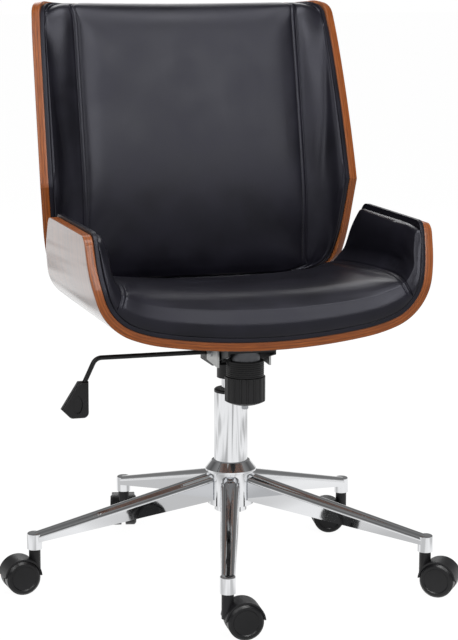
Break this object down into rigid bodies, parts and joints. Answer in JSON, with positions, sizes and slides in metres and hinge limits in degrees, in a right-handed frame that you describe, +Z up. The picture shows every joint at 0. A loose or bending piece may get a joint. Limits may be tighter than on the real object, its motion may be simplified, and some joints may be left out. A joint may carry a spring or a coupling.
{
  "type": "office chair",
  "caption": "Mid-back office chair with bent walnut ply shells, padded seat and back, reclining seat plate, gas height lift and a chromed star base on twin-wheel casters.",
  "frame": {"origin": "on the floor under the column's axis", "axes": "+Z up along the column, the chair faces -Y, +X is the sitter's left"},
  "size_m": [0.6457, 0.6477, 0.8475],
  "materials": {
    "chromed_steel": "mirror chrome plating",
    "bright_steel": "turned and zinc plated",
    "zinc_steel": "pressed sheet, zinc plated",
    "spring_steel": "oiled spring wire",
    "black_steel": "satin black powder coat",
    "black_plastic": "fine moulded texture",
    "wheel_nylon": "moulded nylon, glossy rim",
    "walnut_ply": "bent plywood, walnut veneer, gloss lacquer",
    "liner_leather": "coated leather cloth over a board",
    "pad_leather": "coated leather cloth over foam"
  },
  "bodies": {
    "base": {"base_hub": "chromed_steel", "base_leg_1": "chromed_steel", "base_leg_2": "chromed_steel", "base_leg_3": "chromed_steel", "base_leg_4": "chromed_steel", "base_leg_5": "chromed_steel", "caster_sockets": "bright_steel", "lift_stand_tube": "chromed_steel", "lift_guide_bush": "black_plastic"},
    "lift_rod": {"lift_piston_rod": "bright_steel", "lift_thrust_bearing": "bright_steel", "lift_retaining_clip": "bright_steel"},
    "cradle": {"lift_cylinder": "chromed_steel", "tilt_cradle": "black_steel", "tension_spring": "spring_steel"},
    "release_pin": {"lift_release_pin": "bright_steel"},
    "lever_barrel": {"lever_barrel": "bright_steel"},
    "lever": {"lever_rod": "black_steel", "lever_paddle": "black_plastic"},
    "seat": {"seat_plate": "zinc_steel", "tilt_pivot_pin": "bright_steel", "shell_bolts": "bright_steel", "shell_tee_nuts": "bright_steel", "seat_shell": "walnut_ply", "seat_liner": "liner_leather", "seat_cushion": "pad_leather", "back_bracket": "black_steel", "back_shell": "walnut_ply", "back_liner": "liner_leather", "back_cushion": "pad_leather", "tension_bolt": "bright_steel"},
    "tension_stack": {"tension_washer": "bright_steel", "tension_sleeve": "black_plastic"},
    "tension_knob": {"tension_knob": "black_plastic", "tension_nut": "bright_steel"},
    "caster_1": {"caster_1_hood": "black_plastic", "caster_1_stem": "bright_steel", "caster_1_axle": "bright_steel"},
    "caster_1_wheel_a": {"caster_1_wheel_a": "wheel_nylon"},
    "caster_1_wheel_b": {"caster_1_wheel_b": "wheel_nylon"},
    "caster_2": {"caster_2_hood": "black_plastic", "caster_2_stem": "bright_steel", "caster_2_axle": "bright_steel"},
    "caster_2_wheel_a": {"caster_2_wheel_a": "wheel_nylon"},
    "caster_2_wheel_b": {"caster_2_wheel_b": "wheel_nylon"},
    "caster_3": {"caster_3_hood": "black_plastic", "caster_3_stem": "bright_steel", "caster_3_axle": "bright_steel"},
    "caster_3_wheel_a": {"caster_3_wheel_a": "wheel_nylon"},
    "caster_3_wheel_b": {"caster_3_wheel_b": "wheel_nylon"},
    "caster_4": {"caster_4_hood": "black_plastic", "caster_4_stem": "bright_steel", "caster_4_axle": "bright_steel"},
    "caster_4_wheel_a": {"caster_4_wheel_a": "wheel_nylon"},
    "caster_4_wheel_b": {"caster_4_wheel_b": "wheel_nylon"},
    "caster_5": {"caster_5_hood": "black_plastic", "caster_5_stem": "bright_steel", "caster_5_axle": "bright_steel"},
    "caster_5_wheel_a": {"caster_5_wheel_a": "wheel_nylon"},
    "caster_5_wheel_b": {"caster_5_wheel_b": "wheel_nylon"}
  },
  "joints": [
    {"name": "seat_swivel", "type": "hinge", "parent": "base", "child": "lift_rod", "pos_m": [0, 0, 0.105], "axis": [0, 0, 1], "continuous": true},
    {"name": "height_adjust", "type": "slide", "parent": "lift_rod", "child": "cradle", "axis": [0, 0, 1], "range_m": [0, 0.08]},
    {"name": "recline", "type": "hinge", "parent": "cradle", "child": "seat", "pos_m": [0, -0.034, 0.347], "axis": [-1, 0, 0], "range_deg": [0, 12], "stiffness_Nm_per_rad": 150, "springref_deg": -17.19, "deforming": ["tension_spring"]},
    {"name": "lever_lift", "type": "hinge", "parent": "cradle", "child": "lever_barrel", "pos_m": [-0.026, 0, 0.3415], "axis": [0, 1, 0], "range_deg": [0, 6]},
    {"name": "lever_lock", "type": "slide", "parent": "lever_barrel", "child": "lever", "axis": [-1, 0, 0], "range_m": [-0.012, 0]},
    {"name": "pin_press", "type": "slide", "parent": "cradle", "child": "release_pin", "axis": [0, 0, 1], "range_m": [-0.003, 0]},
    {"name": "knob_travel", "type": "slide", "parent": "seat", "child": "tension_stack", "axis": [0, 0, 1], "range_m": [-0.0016, 0.0016]},
    {"name": "knob_turn", "type": "hinge", "parent": "tension_stack", "child": "tension_knob", "pos_m": [0, -0.07, 0.3], "axis": [0, 0, 1], "range_deg": [-360, 360]},
    {"name": "caster_1_swivel", "type": "hinge", "parent": "base", "child": "caster_1", "pos_m": [-0.09146, -0.28572, 0.0745], "axis": [0, 0, 1], "continuous": true},
    {"name": "caster_1_roll_a", "type": "hinge", "parent": "caster_1", "child": "caster_1_wheel_a", "pos_m": [-0.06954, -0.28764, 0.025], "axis": [0.0872, 0.9962, 0], "continuous": true},
    {"name": "caster_1_roll_b", "type": "hinge", "parent": "caster_1", "child": "caster_1_wheel_b", "pos_m": [-0.06954, -0.28764, 0.025], "axis": [0.0872, 0.9962, 0], "continuous": true},
    {"name": "caster_2_swivel", "type": "hinge", "parent": "base", "child": "caster_2", "pos_m": [0.24347, -0.17527, 0.0745], "axis": [0, 0, 1], "continuous": true},
    {"name": "caster_2_roll_a", "type": "hinge", "parent": "caster_2", "child": "caster_2_wheel_a", "pos_m": [0.26104, -0.18851, 0.025], "axis": [0.6018, 0.7986, 0], "continuous": true},
    {"name": "caster_2_roll_b", "type": "hinge", "parent": "caster_2", "child": "caster_2_wheel_b", "pos_m": [0.26104, -0.18851, 0.025], "axis": [0.6018, 0.7986, 0], "continuous": true},
    {"name": "caster_3_swivel", "type": "hinge", "parent": "base", "child": "caster_3", "pos_m": [0.24193, 0.17739, 0.0745], "axis": [0, 0, 1], "continuous": true},
    {"name": "caster_3_roll_a", "type": "hinge", "parent": "caster_3", "child": "caster_3_wheel_a", "pos_m": [0.22027, 0.18121, 0.025], "axis": [-0.1736, -0.9848, 0], "continuous": true},
    {"name": "caster_3_roll_b", "type": "hinge", "parent": "caster_3", "child": "caster_3_wheel_b", "pos_m": [0.22027, 0.18121, 0.025], "axis": [-0.1736, -0.9848, 0], "continuous": true},
    {"name": "caster_4_swivel", "type": "hinge", "parent": "base", "child": "caster_4", "pos_m": [-0.09395, 0.28491, 0.0745], "axis": [0, 0, 1], "continuous": true},
    {"name": "caster_4_roll_a", "type": "hinge", "parent": "caster_4", "child": "caster_4_wheel_a", "pos_m": [-0.08937, 0.30643, 0.025], "axis": [-0.9781, 0.2079, 0], "continuous": true},
    {"name": "caster_4_roll_b", "type": "hinge", "parent": "caster_4", "child": "caster_4_wheel_b", "pos_m": [-0.08937, 0.30643, 0.025], "axis": [-0.9781, 0.2079, 0], "continuous": true},
    {"name": "caster_5_swivel", "type": "hinge", "parent": "base", "child": "caster_5", "pos_m": [-0.3, -0.00131, 0.0745], "axis": [0, 0, 1], "continuous": true},
    {"name": "caster_5_roll_a", "type": "hinge", "parent": "caster_5", "child": "caster_5_wheel_a", "pos_m": [-0.32191, -0.00323, 0.025], "axis": [0.0872, -0.9962, 0], "continuous": true},
    {"name": "caster_5_roll_b", "type": "hinge", "parent": "caster_5", "child": "caster_5_wheel_b", "pos_m": [-0.32191, -0.00323, 0.025], "axis": [0.0872, -0.9962, 0], "continuous": true}
  ],
  "couplings": [
    {"joint": "pin_press", "follows": "lever_lift", "m_per_rad": -0.026},
    {"joint": "knob_travel", "follows": "knob_turn", "m_per_rad": 0.00023873}
  ]
}
